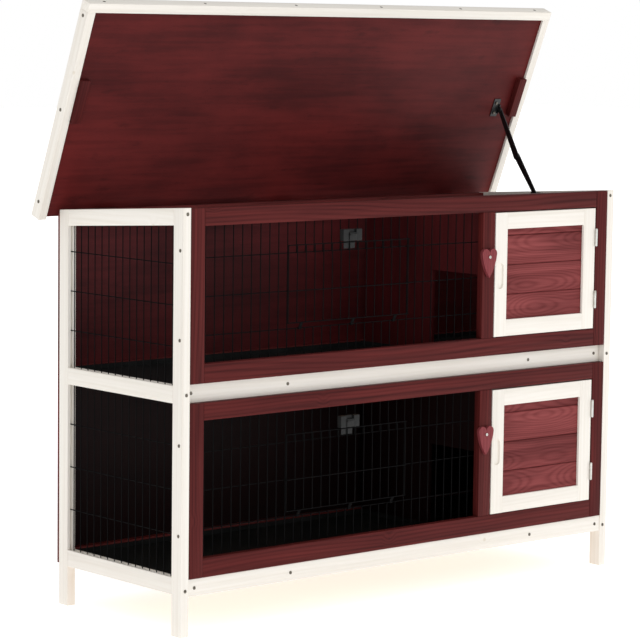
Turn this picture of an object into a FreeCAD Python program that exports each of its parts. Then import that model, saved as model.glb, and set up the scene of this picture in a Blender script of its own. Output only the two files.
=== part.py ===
"""Two-storey rabbit hutch with a stayed lift-up lid, in millimetres.

The origin is on the floor, at the middle of the body's footprint.
+X is to the right seen from the front, +Y to the back, +Z up. The lid is modelled open.
"""
import FreeCAD, Part
import math
import os

V = FreeCAD.Vector

# ---- driving dimensions -------------------------------------------------------------
BODY_W = 1300.0          # outside of left posts to outside of right posts
BODY_D = 438.0           # front faces to back faces of the posts
FRONT_TOP = 905.5        # height of the posts' tops at the front face
REAR_TOP = 877.0         # the same at the back face: the top slopes down to the back
GAP = 0.3                # clearance between neighbouring wooden pieces

POST_T = 21.0            # post size along X
POST_D = 32.0            # post size along Y
SIDE_RAIL_H = 37.0
SIDE_TOP_RAIL_H = 35.5
SIDE_BOTTOM_Z = 89.0     # lower edge of the sides' bottom rails
SIDE_MIDDLE_Z = 495.0    # lower edge of the sides' middle rails

FRAME_T = 18.0           # thickness of the front frames and doors
FRAME_W = 37.5           # width of their stiles, mullions and top rails
FRAME_FOOT_H = 41.0      # height of their bottom rails
FRAME_SIDE_GAP = 0.7     # front frame to post
LOWER_FRAME_Z = 123.0
LOWER_FRAME_H = 372.0
UPPER_FRAME_Z = 536.0
NEST_W = 335.4           # clear width between mullion and right stile

MIDDLE_RAIL_Z = 487.0
MIDDLE_RAIL_H = 56.0
BOTTOM_RAIL_Z = 85.0
BOTTOM_RAIL_H = 37.5
BOTTOM_RAIL_SETBACK = 2.0
RAIL_T = 18.0            # thickness of the front and rear cross rails
REAR_RAIL_H = 37.0
REAR_RAIL_DROP = 0.3     # top rear rail below the posts' rear tops

BACK_T = 6.0             # plywood back
BACK_Z = 93.0
BACK_TOP_DROP = 9.0      # back panel's top below the posts' tops

DECK_T = 6.0
DECK_GROOVE = 6.0        # how deep the decks sit in the side rails
LOWER_DECK_DROP = 17.0   # deck's top below the side rails' tops
UPPER_DECK_DROP = 13.0
TRAY_WALL = 2.0
TRAY_H = 12.8
TRAY_GAP = 1.5
DECK_SLACK = 0.2         # trays and partitions above their deck

PARTITION_T = 9.0
PARTITION_FROM_MULLION = 16.0
DOORWAY_D = 165.0        # doorway's size along Y, open to the front frame
DOORWAY_H = 202.0
PARTITION_TOP_DROP = 15.0   # upper partition below the posts' rear tops

WIRE_R = 1.15
WIRE_WELD = 0.4          # how far crossing wires sink into each other
MESH_PITCH = 25.0
MESH_ROW = 82.0          # between the front mesh's cross wires
MESH_SIDE_LAP = 9.0      # mesh behind the left stile
MESH_LAP = 11.5          # most that it reaches behind the mullion
MESH_DROP = 6.0          # mesh's middle below the middle of its opening
SIDE_MESH_INSET = 9.0    # mesh plane from the post's outer face
GROOVE_DEPTH = 6.0
GROOVE_SLACK = 0.5
SIDE_MESH_ROWS = 3

WIRE_DOOR_FIRST = 10     # the door's opening runs between these two upright wires
WIRE_DOOR_LAST = 24
WIRE_DOOR_FOOT = 13.0    # door's lowest wire above the opening's lower wire
WIRE_DOOR_LAP = 17.0     # door's top wire above the opening's upper wire
WIRE_DOOR_STAND = 3.8    # door's wires in front of the mesh
SLEEVE_L = 8.0
SLEEVE_WALL = 1.6
SLEEVE_PLACES = (1.5, 7.5, 12.5)   # in mesh pitches from the wire door's left end

LATCH_W = 54.0
LATCH_H = 26.0
LATCH_BASE_T = 6.2
LATCH_CHEEK_T = 6.5
LATCH_LIFT = 3.0         # latch above the wire door's top wire
LATCH_TAB_W = 33.0
LATCH_TAB_H = 17.0
LATCH_TAB_T = 1.2
LATCH_TAB_ROOT = 1.0     # how far the tab runs into the latch's base
CATCH_W = 21.0
CATCH_H = 18.0
CATCH_T = 8.0
CATCH_LIFT = 0.8         # raised catch above the latch's lower edge
CATCH_TRAVEL = 10.0
RIDGE_H = 3.0            # thumb ridge across the catch, as far below its top
RIDGE_T = 2.0

DOOR_GAP = 2.8           # round each small door
DOOR_MEMBER = 38.0       # width of the small doors' stiles and rails
BOARD_T = 9.0
BOARD_H = 68.2
BOARD_RECESS = 7.0       # boards behind the frame's front face
BOARD_JOINT = 0.6
BOARD_V = 2.0            # chamfer along the boards' front edges
DOOR_FIRST_BOARD = 58.0  # first board joint above the door's inner edge
PULL_L = 60.0            # finger recess in the small doors' free stiles
PULL_W = 20.0
PULL_DEPTH = 4.0
PULL_BELOW = 47.0        # recess centre below the heart's screw
PULL_IN = 17.0           # recess centre from the door's free edge

HINGE_L = 40.0           # small doors' butt hinges
HINGE_R = 3.0
HINGE_PIN_R = 1.25
HINGE_LEAF_T = 1.1
HINGE_LEAF_W = 15.0
HINGE_INSET = 49.0       # door's end to the hinge's near end
PIN_CLEAR = 0.05
PIN_HEAD_T = 0.8
PIN_HEAD_IN = 0.5        # pin heads within the knuckles' outline
KNUCKLES = 5

HEART_W = 46.0
HEART_H = 66.0
HEART_T = 8.0
HEART_STAND = 1.5        # heart in front of the frame, on its washer
HEART_SCREW_DROP = 18.0  # screw below the heart's highest point
HEART_FROM_TOP = 138.5   # screw below the front frame's top
HEART_CLEAR = 1.2        # heart's lobe to the edge of the mullion
HEART_WAIST_W = 35.0     # width between its long sides, at their middles
HEART_WAIST_AT = 23.5    # waist below the shoulders
WASHER_R = 4.6
WASHER_SLACK = 0.2

LID_CLOSED_GAP = 0.3
LID_OPEN_DEG = 68.1      # lid's underside to the horizontal
LID_SIDE = 47.0          # overhang at each side
LID_BACK = 14.0          # panel behind the hinge axis
LID_OVERHANG = 39.4      # front fascia's outer face in front of the posts
LID_T = 18.0
FELT_T = 2.2
FASCIA_T = 21.0
FASCIA_BELOW = 6.0       # fascia below the lid's underside
FASCIA_ABOVE = 22.7      # fascia above the lid's underside
FASCIA_TAIL = 5.0        # side fascias behind the panel
BLOCK_W = 23.0
BLOCK_L = 100.0
BLOCK_T = 14.0
BLOCK_FROM_HINGE = 213.0
BLOCK_CLEAR = 1.5

LID_HINGE_IN = 130.0     # outer hinges' middles from the body's sides
LID_HINGE_L = 60.0
LID_HINGE_R = 3.4
LID_HINGE_PIN_R = 1.75
LID_HINGE_LEAF_T = 1.2
LID_HINGE_LEAF_W = 24.0  # of the leaves on the back panel
LID_LEAF_W = 10.0        # of the leaves under the lid, behind the hinge axis
KNUCKLE_CLEAR = 0.2
LEAF_SCREW_PITCH = 22.0

STAY_INSET = 10.7        # upper link's left face from the right side's inner face
LINK_T = 2.5
LINK_GAP = 0.3
STAY_BEND_DEG = 7.84     # how far the open stay's elbow is from straight
STAY_FOLD_DEG = 4.93     # how far the lower link points below level when the lid is shut
STAY_LID_Y = 230.46      # lid pivot in front of the hinge axis, along the lid
STAY_LID_DROP = 6.56     # lid pivot below the lid's underside
STAY_BODY_FRONT = 213.72 # body pivot in front of the lid's axis
STAY_BODY_ABOVE = 9.21   # and above it
LINK_END_R = 5.5
LINK_ELBOW_R = 8.5
RIVET_R = 2.5
RIVET_HEAD_R = 4.5
RIVET_HEAD_T = 1.5
BRACKET_T = 2.0
EAR_RIM = 0.5            # lid bracket's ear beyond the link's round end
WEB_L = 24.0
LID_PLATE_W = 21.0
LID_PLATE_L = 46.0
LID_PLATE_AHEAD = 3.0    # plate's middle towards the lid's front, from the pivot
BODY_PLATE_D = 40.0
BODY_PLATE_H = 36.0
PLATE_SCREW_PITCH = 25.0
PLATE_SCREW_IN = 12.5    # lid plate's screws from the ear's outer face
PLATE_SCREW_UP = 14.0    # body plate's screws above its lower edge

SCREW_HEAD_R = 3.6
SCREW_HEAD_T = 1.5
SCREW_R = 1.7
SCREW_L = 12.0
SCREW_CLEAR = 0.1
SIDE_SCREW_FOOT = 94.0   # posts' side screws above each front frame's foot
SIDE_SCREW_HEAD = 86.5   # and below its head
SIDE_SCREW_IN = 9.0      # side screws behind the front face
POST_SCREW_RISE = 10.5   # posts' front screws above the bottom rails' lower edge
POST_SCREW_MIDDLE = 20.0
POST_SCREW_DROP = 12.5
POST_SCREW_IN = 12.0     # front screws from the post's outer face
RAIL_SCREW_IN = 38.0     # cross rails' end screws from the body's sides
RAIL_SCREW_X = (-346.0, 390.0)
FASCIA_SCREW_IN = 47.0   # front fascia's end screws from the lid's sides
FASCIA_SCREW_X = (-376.0, -114.0, 145.0, 400.0)
FASCIA_SCREW_FRONT = 32.0   # side fascias' front screws behind the lid's front
FASCIA_SCREW_REAR = 20.0    # their rear screws in front of the hinge axis

# ---- places worked out from them ----------------------------------------------------
HALF_W = BODY_W / 2
HALF_D = BODY_D / 2
INNER_X = HALF_W - POST_T
TOP_SLOPE = (FRONT_TOP - REAR_TOP) / BODY_D
FRONT = -HALF_D
FRAME_BACK = FRONT + FRAME_T
FRAME_X = INNER_X - FRAME_SIDE_GAP
UPPER_FRAME_TOP = FRONT_TOP - FRAME_T * TOP_SLOPE - GAP
LOWER_FRAME_TOP = LOWER_FRAME_Z + LOWER_FRAME_H
MULLION_X = FRAME_X - FRAME_W - NEST_W - FRAME_W
RUN_X = -FRAME_X + FRAME_W
NEST_X = MULLION_X + FRAME_W
DOOR_X0 = NEST_X + DOOR_GAP
DOOR_X1 = NEST_X + NEST_W - DOOR_GAP
MIDDLE_RAIL_BACK = FRAME_BACK + GAP + RAIL_T
BOTTOM_RAIL_FRONT = FRONT + BOTTOM_RAIL_SETBACK
BOTTOM_RAIL_BACK = BOTTOM_RAIL_FRONT + RAIL_T
REAR_RAIL_FRONT = HALF_D - RAIL_T
UPPER_DECK_TOP = SIDE_MIDDLE_Z + SIDE_RAIL_H - UPPER_DECK_DROP
LOWER_DECK_TOP = SIDE_BOTTOM_Z + SIDE_RAIL_H - LOWER_DECK_DROP
PARTITION_X = MULLION_X + PARTITION_FROM_MULLION
CROSS_STEP = 2 * WIRE_R - WIRE_WELD
STOREYS = {
    "lower": (LOWER_FRAME_Z, LOWER_FRAME_TOP, LOWER_DECK_TOP),
    "upper": (UPPER_FRAME_Z, UPPER_FRAME_TOP, UPPER_DECK_TOP),
}
LID_UNDER = LID_HINGE_R + KNUCKLE_CLEAR      # hinge axis to the lid's underside
LID_CLOSED_DEG = math.degrees(math.atan(TOP_SLOPE))
LID_AXIS_Y = HALF_D + BACK_T + LID_HINGE_R + KNUCKLE_CLEAR
LID_AXIS_Z = (REAR_TOP - (LID_AXIS_Y - HALF_D) * TOP_SLOPE
              - (LID_UNDER - LID_CLOSED_GAP) / math.cos(math.radians(LID_CLOSED_DEG)))
LID_HALF_W = HALF_W + LID_SIDE
LID_FRONT = LID_AXIS_Y - FRONT + LID_OVERHANG
LID_HINGE_X = (-HALF_W + LID_HINGE_IN, 0.0, HALF_W - LID_HINGE_IN)
STAY_X = INNER_X - STAY_INSET
STAY_BODY_Y = LID_AXIS_Y - STAY_BODY_FRONT
STAY_BODY_Z = LID_AXIS_Z + STAY_BODY_ABOVE


# ---- small helpers ------------------------------------------------------------------
def box(x0, x1, y0, y1, z0, z1):
    return Part.makeBox(x1 - x0, y1 - y0, z1 - z0, V(x0, y0, z0))


def rod(start, direction, length, radius):
    return Part.makeCylinder(radius, length, V(*start), V(*direction))


def prism(points, x0, x1):
    """A solid with the given outline in the YZ plane, from x0 to x1."""
    wire = Part.makePolygon([V(x0, y, z) for y, z in points + points[:1]])
    return Part.Face(wire).extrude(V(x1 - x0, 0, 0))


def top_z(y):
    """Height of the body's sloping top at y."""
    return FRONT_TOP - (y - FRONT) * TOP_SLOPE


def mirrored(shape):
    return shape.mirror(V(0, 0, 0), V(1, 0, 0))


def joined(shapes):
    """One solid from touching or overlapping shapes."""
    return shapes[0].fuse(shapes[1:]).removeSplitter()


def group(solids):
    return Part.makeCompound(solids)


def screw(head, inward):
    """A countersunk screw whose head is flush at the point head."""
    start = V(*head)
    along = V(*inward)
    cap = Part.makeCylinder(SCREW_HEAD_R, SCREW_HEAD_T, start, along)
    shank = Part.makeCylinder(SCREW_R, SCREW_L, start, along)
    return joined([cap, shank])


def screw_hole(head, inward):
    start = V(*head)
    along = V(*inward)
    seat = Part.makeCylinder(SCREW_HEAD_R + SCREW_CLEAR, SCREW_HEAD_T, start, along)
    bore = Part.makeCylinder(SCREW_R + SCREW_CLEAR, SCREW_L + SCREW_CLEAR, start, along)
    return seat.fuse(bore)


def pilot_hole(seat, along, radius=SCREW_R + SCREW_CLEAR):
    """The hole under a round-headed screw that sits on the point seat."""
    return rod(seat, along, SCREW_L + SCREW_CLEAR, radius)


def piloted(shape, seats, along):
    for seat in seats:
        shape = shape.cut(pilot_hole(seat, along))
    return shape


def drilled(shape, screws):
    """The shape with holes for those screws that reach it."""
    for head, inward in screws:
        hole = screw_hole(head, inward)
        if hole.BoundBox.intersect(shape.BoundBox):
            shape = shape.cut(hole)
    return shape


# ---- screws of the body -------------------------------------------------------------
def body_screws():
    side_z = []
    for foot, head, _ in STOREYS.values():
        side_z += [foot + SIDE_SCREW_FOOT, head - SIDE_SCREW_HEAD]
    post_z = (SIDE_BOTTOM_Z + POST_SCREW_RISE, SIDE_MIDDLE_Z + POST_SCREW_MIDDLE, FRONT_TOP - POST_SCREW_DROP)
    places = []
    for side in (-1, 1):
        for z in side_z:
            places.append(((side * HALF_W, FRONT + SIDE_SCREW_IN, z), (-side, 0, 0)))
        for z in post_z:
            places.append(((side * (HALF_W - POST_SCREW_IN), FRONT, z), (0, 1, 0)))
    rail_x = HALF_W - RAIL_SCREW_IN
    for x in (-rail_x, *RAIL_SCREW_X, rail_x):
        places.append(((x, FRAME_BACK + GAP, (LOWER_FRAME_TOP + UPPER_FRAME_Z) / 2), (0, 1, 0)))
        places.append(((x, BOTTOM_RAIL_FRONT, BOTTOM_RAIL_Z + BOTTOM_RAIL_H / 2), (0, 1, 0)))
    return places


BODY_SCREWS = body_screws()


# ---- side frames --------------------------------------------------------------------
def side_openings():
    """The two openings of a side, as outlines in the YZ plane."""
    y0 = FRONT + POST_D
    y1 = HALF_D - POST_D
    lower = [(y0, SIDE_BOTTOM_Z + SIDE_RAIL_H), (y1, SIDE_BOTTOM_Z + SIDE_RAIL_H),
             (y1, SIDE_MIDDLE_Z), (y0, SIDE_MIDDLE_Z)]
    upper = [(y0, SIDE_MIDDLE_Z + SIDE_RAIL_H), (y1, SIDE_MIDDLE_Z + SIDE_RAIL_H),
             (y1, top_z(y1) - SIDE_TOP_RAIL_H), (y0, top_z(y0) - SIDE_TOP_RAIL_H)]
    return lower, upper


def grown(outline, by):
    """A four-cornered outline moved outwards by the same amount on each side."""
    (y0, z0), (y1, _), (_, z2), (_, z3) = outline
    return [(y0 - by, z0 - by), (y1 + by, z0 - by), (y1 + by, z2 + by), (y0 - by, z3 + by)]


def side_groove(x0, x1):
    lower, upper = side_openings()
    return prism(grown(lower, GROOVE_DEPTH), x0, x1).fuse(prism(grown(upper, GROOVE_DEPTH), x0, x1))


MESH_GROOVE = side_groove(-HALF_W + SIDE_MESH_INSET - WIRE_R - GROOVE_SLACK,
                          -HALF_W + SIDE_MESH_INSET + WIRE_R + CROSS_STEP + GROOVE_SLACK)
BOARD_X = HALF_W - SIDE_MESH_INSET
BOARD_GROOVE = side_groove(BOARD_X - BOARD_T - GROOVE_SLACK / 2, BOARD_X + GROOVE_SLACK / 2)


def side_piece(outline, side, deck_tops=()):
    """A post or rail of the left (-1) or right (1) side, with its grooves and screw holes."""
    piece = prism(outline, side * HALF_W, side * INNER_X)
    piece = piece.cut(MESH_GROOVE if side < 0 else BOARD_GROOVE)
    for top in deck_tops:
        slot_x = side * (INNER_X + DECK_GROOVE)
        slot = box(min(slot_x, side * INNER_X), max(slot_x, side * INNER_X),
                   FRONT + POST_D, HALF_D - POST_D,
                   top - DECK_T - GAP / 2, top + GAP / 2)
        piece = piece.cut(slot)
    return drilled(piece, BODY_SCREWS)


def post_outline(y0, y1):
    return [(y0, 0.0), (y1, 0.0), (y1, top_z(y1)), (y0, top_z(y0))]


def rail_outline(z0, height):
    y0 = FRONT + POST_D
    y1 = HALF_D - POST_D
    return [(y0, z0), (y1, z0), (y1, z0 + height), (y0, z0 + height)]


def top_rail_outline():
    y0 = FRONT + POST_D
    y1 = HALF_D - POST_D
    return [(y0, top_z(y0) - SIDE_TOP_RAIL_H), (y1, top_z(y1) - SIDE_TOP_RAIL_H),
            (y1, top_z(y1)), (y0, top_z(y0))]


def side_frames():
    nodes = {}
    for name, side in (("left", -1), ("right", 1)):
        nodes[f"front_{name}_post"] = side_piece(post_outline(FRONT, FRONT + POST_D), side)
        nodes[f"rear_{name}_post"] = side_piece(post_outline(HALF_D - POST_D, HALF_D), side)
        nodes[f"{name}_bottom_rail"] = side_piece(
            rail_outline(SIDE_BOTTOM_Z, SIDE_RAIL_H), side, [LOWER_DECK_TOP])
        nodes[f"{name}_middle_rail"] = side_piece(
            rail_outline(SIDE_MIDDLE_Z, SIDE_RAIL_H), side, [UPPER_DECK_TOP])
        nodes[f"{name}_top_rail"] = side_piece(top_rail_outline(), side)
    nodes["right_top_rail"] = piloted(nodes["right_top_rail"], body_plate_seats(), (1, 0, 0))
    return nodes


def side_mesh(outline):
    """Upright wires with cross wires behind them, their ends in the frame's groove."""
    (y0, z0), (y1, _), (_, z_rear), (_, z_front) = grown(outline, GROOVE_DEPTH - GROOVE_SLACK)
    x = -HALF_W + SIDE_MESH_INSET
    span = outline[1][0] - outline[0][0]
    count = round(span / MESH_PITCH)
    wires = []
    for k in range(count):
        y = outline[0][0] + span * (k + 0.5) / count
        top = z_front + (z_rear - z_front) * (y - y0) / (y1 - y0)
        wires.append(rod((x, y, z0), (0, 0, 1), top - z0, WIRE_R))
    for k in range(1, SIDE_MESH_ROWS + 1):
        z = z0 + (z_front - z0) * k / (SIDE_MESH_ROWS + 1)
        wires.append(rod((x + CROSS_STEP, y0, z), (0, 1, 0), y1 - y0, WIRE_R))
    return joined(wires)


def boards(outline, x0, x1):
    """Horizontal boards that fill an outline, with a small gap at each joint."""
    panel = prism(outline, x0, x1)
    low = outline[0][1]
    high = max(z for _, z in outline)
    solids = []
    count = math.ceil((high - low) / BOARD_H)
    for k in range(count):
        strip = box(x0, x1, -HALF_D, HALF_D, low + k * BOARD_H, low + (k + 1) * BOARD_H - BOARD_JOINT)
        solids.append(panel.common(strip))
    return solids


def side_fillings():
    lower, upper = side_openings()
    inset = GROOVE_DEPTH - GROOVE_SLACK
    solids = []
    for outline in (lower, upper):
        solids += boards(grown(outline, inset), BOARD_X - BOARD_T, BOARD_X)
    return {
        "lower_side_mesh": side_mesh(lower),
        "upper_side_mesh": side_mesh(upper),
        "right_side_boards": group(solids),
    }


# ---- front frames -------------------------------------------------------------------
def front_frame(storey):
    z0, z1, _ = STOREYS[storey]
    stiles = [drilled(box(x, x + FRAME_W, FRONT, FRAME_BACK, z0, z1), BODY_SCREWS)
              for x in (-FRAME_X, FRAME_X - FRAME_W)]
    left = RUN_X
    right = FRAME_X - FRAME_W
    foot = box(left, right, FRONT, FRAME_BACK, z0, z0 + FRAME_FOOT_H)
    head = box(left, right, FRONT, FRAME_BACK, z1 - FRAME_W, z1)
    mullion = box(MULLION_X, NEST_X, FRONT, FRAME_BACK, z0 + FRAME_FOOT_H, z1 - FRAME_W)
    mullion = mullion.cut(rod(heart_screw_point(storey), (0, 1, 0), SCREW_L, SCREW_R + SCREW_CLEAR))
    return {
        f"{storey}_front_stiles": group(stiles),
        f"{storey}_front_foot_rail": foot,
        f"{storey}_front_head_rail": head,
        f"{storey}_mullion": mullion,
    }


def cross_rails():
    x = INNER_X - GAP
    middle = box(-x, x, FRAME_BACK + GAP, MIDDLE_RAIL_BACK,
                 MIDDLE_RAIL_Z, MIDDLE_RAIL_Z + MIDDLE_RAIL_H)
    bottom = box(-x, x, BOTTOM_RAIL_FRONT, BOTTOM_RAIL_BACK,
                 BOTTOM_RAIL_Z, BOTTOM_RAIL_Z + BOTTOM_RAIL_H)
    rear_tops = (SIDE_BOTTOM_Z + SIDE_RAIL_H, SIDE_MIDDLE_Z + SIDE_RAIL_H, REAR_TOP - REAR_RAIL_DROP)
    rear = [box(-x, x, REAR_RAIL_FRONT, HALF_D, top - REAR_RAIL_H, top) for top in rear_tops]
    rear[-1] = piloted(rear[-1], back_leaf_seats(), (0, -1, 0))
    return {
        "middle_front_rail": drilled(middle, BODY_SCREWS),
        "bottom_front_rail": drilled(bottom, BODY_SCREWS),
        "rear_rails": group(rear),
    }


# ---- front mesh, wire doors and latches ---------------------------------------------
MESH_X0 = RUN_X - MESH_SIDE_LAP
MESH_COUNT = 1 + int((MULLION_X + MESH_LAP - MESH_X0) / MESH_PITCH)
MESH_Y = FRAME_BACK + GAP + WIRE_R
MESH_CROSS_Y = MESH_Y + CROSS_STEP
DOOR_WIRE_Y = MESH_Y - WIRE_DOOR_STAND
DOOR_CROSS_Y = DOOR_WIRE_Y - CROSS_STEP


def mesh_rows(storey):
    """Heights of the five cross wires, spread evenly behind the frame's opening."""
    z0, z1, _ = STOREYS[storey]
    middle = (z0 + FRAME_FOOT_H + z1 - FRAME_W) / 2 - MESH_DROP
    return [middle + k * MESH_ROW for k in (-2, -1, 0, 1, 2)]


def mesh_x(k):
    return MESH_X0 + k * MESH_PITCH


def front_mesh(storey):
    rows = mesh_rows(storey)
    wires = []
    for k in range(MESH_COUNT):
        if WIRE_DOOR_FIRST < k < WIRE_DOOR_LAST:
            spans = ((rows[0], rows[1]), (rows[3], rows[4]))
        else:
            spans = ((rows[0], rows[4]),)
        for low, high in spans:
            wires.append(rod((mesh_x(k), MESH_Y, low - WIRE_R), (0, 0, 1), high - low + 2 * WIRE_R, WIRE_R))
    x0 = mesh_x(0)
    x1 = mesh_x(MESH_COUNT - 1)
    door0 = mesh_x(WIRE_DOOR_FIRST)
    door1 = mesh_x(WIRE_DOOR_LAST)
    for row in (0, 1, 3, 4):
        wires.append(rod((x0 - WIRE_R, MESH_CROSS_Y, rows[row]), (1, 0, 0), x1 - x0 + 2 * WIRE_R, WIRE_R))
    for a, b in ((x0, door0), (door1, x1)):
        wires.append(rod((a - WIRE_R, MESH_CROSS_Y, rows[2]), (1, 0, 0), b - a + 2 * WIRE_R, WIRE_R))
    return joined(wires)


def wire_door(storey):
    """A wire leaf hung on the opening's lower wire by three bent sleeves."""
    rows = mesh_rows(storey)
    low = rows[1] + WIRE_DOOR_FOOT
    high = rows[3] + WIRE_DOOR_LAP
    wires = []
    for k in range(WIRE_DOOR_FIRST, WIRE_DOOR_LAST + 1):
        wires.append(rod((mesh_x(k), DOOR_WIRE_Y, low - WIRE_R), (0, 0, 1), high - low + 2 * WIRE_R, WIRE_R))
    x0 = mesh_x(WIRE_DOOR_FIRST)
    x1 = mesh_x(WIRE_DOOR_LAST)
    for z in (low, rows[2], high):
        wires.append(rod((x0 - WIRE_R, DOOR_CROSS_Y, z), (1, 0, 0), x1 - x0 + 2 * WIRE_R, WIRE_R))
    sleeves = [hinge_sleeve(mesh_x(WIRE_DOOR_FIRST + k), rows[1], low) for k in SLEEVE_PLACES]
    leaf = joined(wires + sleeves)
    pin = rod((x0, MESH_CROSS_Y, rows[1]), (1, 0, 0), x1 - x0, WIRE_R + PIN_CLEAR)
    return leaf.cut(pin)


def hinge_sleeve(x, axis_z, foot_z):
    """A sleeve round the opening's lower wire, with its arm up to the leaf's lowest wire."""
    x0 = x - SLEEVE_L / 2
    sleeve = rod((x0, MESH_CROSS_Y, axis_z), (1, 0, 0), SLEEVE_L, WIRE_R + SLEEVE_WALL)
    span = math.hypot(DOOR_CROSS_Y - MESH_CROSS_Y, foot_z - axis_z)
    uy = (DOOR_CROSS_Y - MESH_CROSS_Y) / span
    uz = (foot_z - axis_z) / span
    near = WIRE_R + SLEEVE_WALL / 2
    half = SLEEVE_WALL / 2
    outline = [(MESH_CROSS_Y + uy * along - uz * across, axis_z + uz * along + uy * across)
               for along, across in ((near, half), (span, half), (span, -half), (near, -half))]
    return sleeve.fuse(prism(outline, x0, x0 + SLEEVE_L))


def latch_place(storey):
    """Middle of the latch and the height of the wire door's top wire."""
    x = mesh_x((WIRE_DOOR_FIRST + WIRE_DOOR_LAST) / 2)
    return x, mesh_rows(storey)[3] + WIRE_DOOR_LAP


def latch_body(storey):
    x, z = latch_place(storey)
    z0 = z + LATCH_LIFT
    z1 = z0 + LATCH_H
    back = MESH_Y - WIRE_R
    front = back - LATCH_BASE_T
    half = LATCH_W / 2
    slot = CATCH_W / 2 + GAP
    base = box(x - half, x + half, front, back, z0, z1)
    cheeks = [box(x - half, x - slot, front - LATCH_CHEEK_T, front, z0, z1),
              box(x + slot, x + half, front - LATCH_CHEEK_T, front, z0, z1)]
    tab = box(x - LATCH_TAB_W / 2, x + LATCH_TAB_W / 2, back - LATCH_TAB_T, back,
              z0 - LATCH_TAB_H, z0 + LATCH_TAB_ROOT)
    return joined([base, tab] + cheeks)


def latch_catch(storey):
    """The sliding catch, raised. It drops in front of the door's top wire to lock it."""
    x, z = latch_place(storey)
    z0 = z + LATCH_LIFT + CATCH_LIFT
    ridge_top = z0 + CATCH_H - RIDGE_H
    back = MESH_Y - WIRE_R - LATCH_BASE_T - GAP
    half = CATCH_W / 2
    plate = box(x - half, x + half, back - CATCH_T, back, z0, z0 + CATCH_H)
    ridge = box(x - half, x + half, back - CATCH_T - RIDGE_T, back - CATCH_T, ridge_top - RIDGE_H, ridge_top)
    return joined([plate, ridge])


# ---- small doors --------------------------------------------------------------------
def door_span(storey):
    z0, z1, _ = STOREYS[storey]
    return z0 + FRAME_FOOT_H + DOOR_GAP / 2, z1 - FRAME_W - DOOR_GAP


def door_frame(storey):
    z0, z1 = door_span(storey)
    in_x0 = DOOR_X0 + DOOR_MEMBER
    in_x1 = DOOR_X1 - DOOR_MEMBER
    in_z0 = z0 + DOOR_MEMBER
    in_z1 = z1 - DOOR_MEMBER
    y = FRONT + BOARD_RECESS
    groove = box(in_x0 - GROOVE_DEPTH - GROOVE_SLACK, in_x1 + GROOVE_DEPTH + GROOVE_SLACK,
                 y - GROOVE_SLACK / 2, y + BOARD_T + GROOVE_SLACK / 2,
                 in_z0 - GROOVE_DEPTH - GROOVE_SLACK, in_z1 + GROOVE_DEPTH + GROOVE_SLACK)
    free_stile = box(DOOR_X0, in_x0, FRONT, FRAME_BACK, z0, z1).cut(finger_pull(storey))
    pieces = [free_stile,
              box(in_x1, DOOR_X1, FRONT, FRAME_BACK, z0, z1),
              box(in_x0, in_x1, FRONT, FRAME_BACK, z0, in_z0),
              box(in_x0, in_x1, FRONT, FRAME_BACK, in_z1, z1)]
    return group([piece.cut(groove) for piece in pieces])


def finger_pull(storey):
    """A long round-ended recess in the free stile."""
    x = DOOR_X0 + PULL_IN
    z = heart_screw_point(storey)[2] - PULL_BELOW
    r = PULL_W / 2
    half = PULL_L / 2 - r
    cut = box(x - r, x + r, FRONT, FRONT + PULL_DEPTH, z - half, z + half)
    ends = [rod((x, FRONT, z + s * half), (0, 1, 0), PULL_DEPTH, r) for s in (-1, 1)]
    return joined([cut] + ends)


def door_boards(storey):
    z0, z1 = door_span(storey)
    low = z0 + DOOR_MEMBER - GROOVE_DEPTH
    high = z1 - DOOR_MEMBER + GROOVE_DEPTH
    x0 = DOOR_X0 + DOOR_MEMBER - GROOVE_DEPTH
    x1 = DOOR_X1 - DOOR_MEMBER + GROOVE_DEPTH
    y0 = FRONT + BOARD_RECESS
    joints = [low]
    z = z0 + DOOR_MEMBER + DOOR_FIRST_BOARD
    while z < high - BOARD_V:
        joints.append(z)
        z += BOARD_H
    joints.append(high)
    solids = []
    for bottom, top in zip(joints, joints[1:]):
        top -= BOARD_JOINT
        outline = [(y0 + BOARD_V, bottom), (y0 + BOARD_T, bottom), (y0 + BOARD_T, top),
                   (y0 + BOARD_V, top), (y0, top - BOARD_V), (y0, bottom + BOARD_V)]
        solids.append(prism(outline, x0, x1))
    return group(solids)


def knuckles(axis_start, direction, length, radius, bore, fixed):
    """Every other knuckle of a butt hinge, as short tubes along the axis."""
    step = length / KNUCKLES
    tubes = []
    for k in range(KNUCKLES):
        if (k % 2 == 0) == fixed:
            start = V(*axis_start) + V(*direction) * (k * step + KNUCKLE_CLEAR / 2)
            tube = Part.makeCylinder(radius, step - KNUCKLE_CLEAR, start, V(*direction))
            tubes.append(tube.cut(Part.makeCylinder(bore, step, start, V(*direction))))
    return tubes


DOOR_AXIS_X = NEST_X + NEST_W - DOOR_GAP / 2
DOOR_AXIS_Y = FRONT - HINGE_R - KNUCKLE_CLEAR


def door_hinge_starts(storey):
    z0, z1 = door_span(storey)
    return z0 + HINGE_INSET, z1 - HINGE_INSET - HINGE_L


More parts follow.
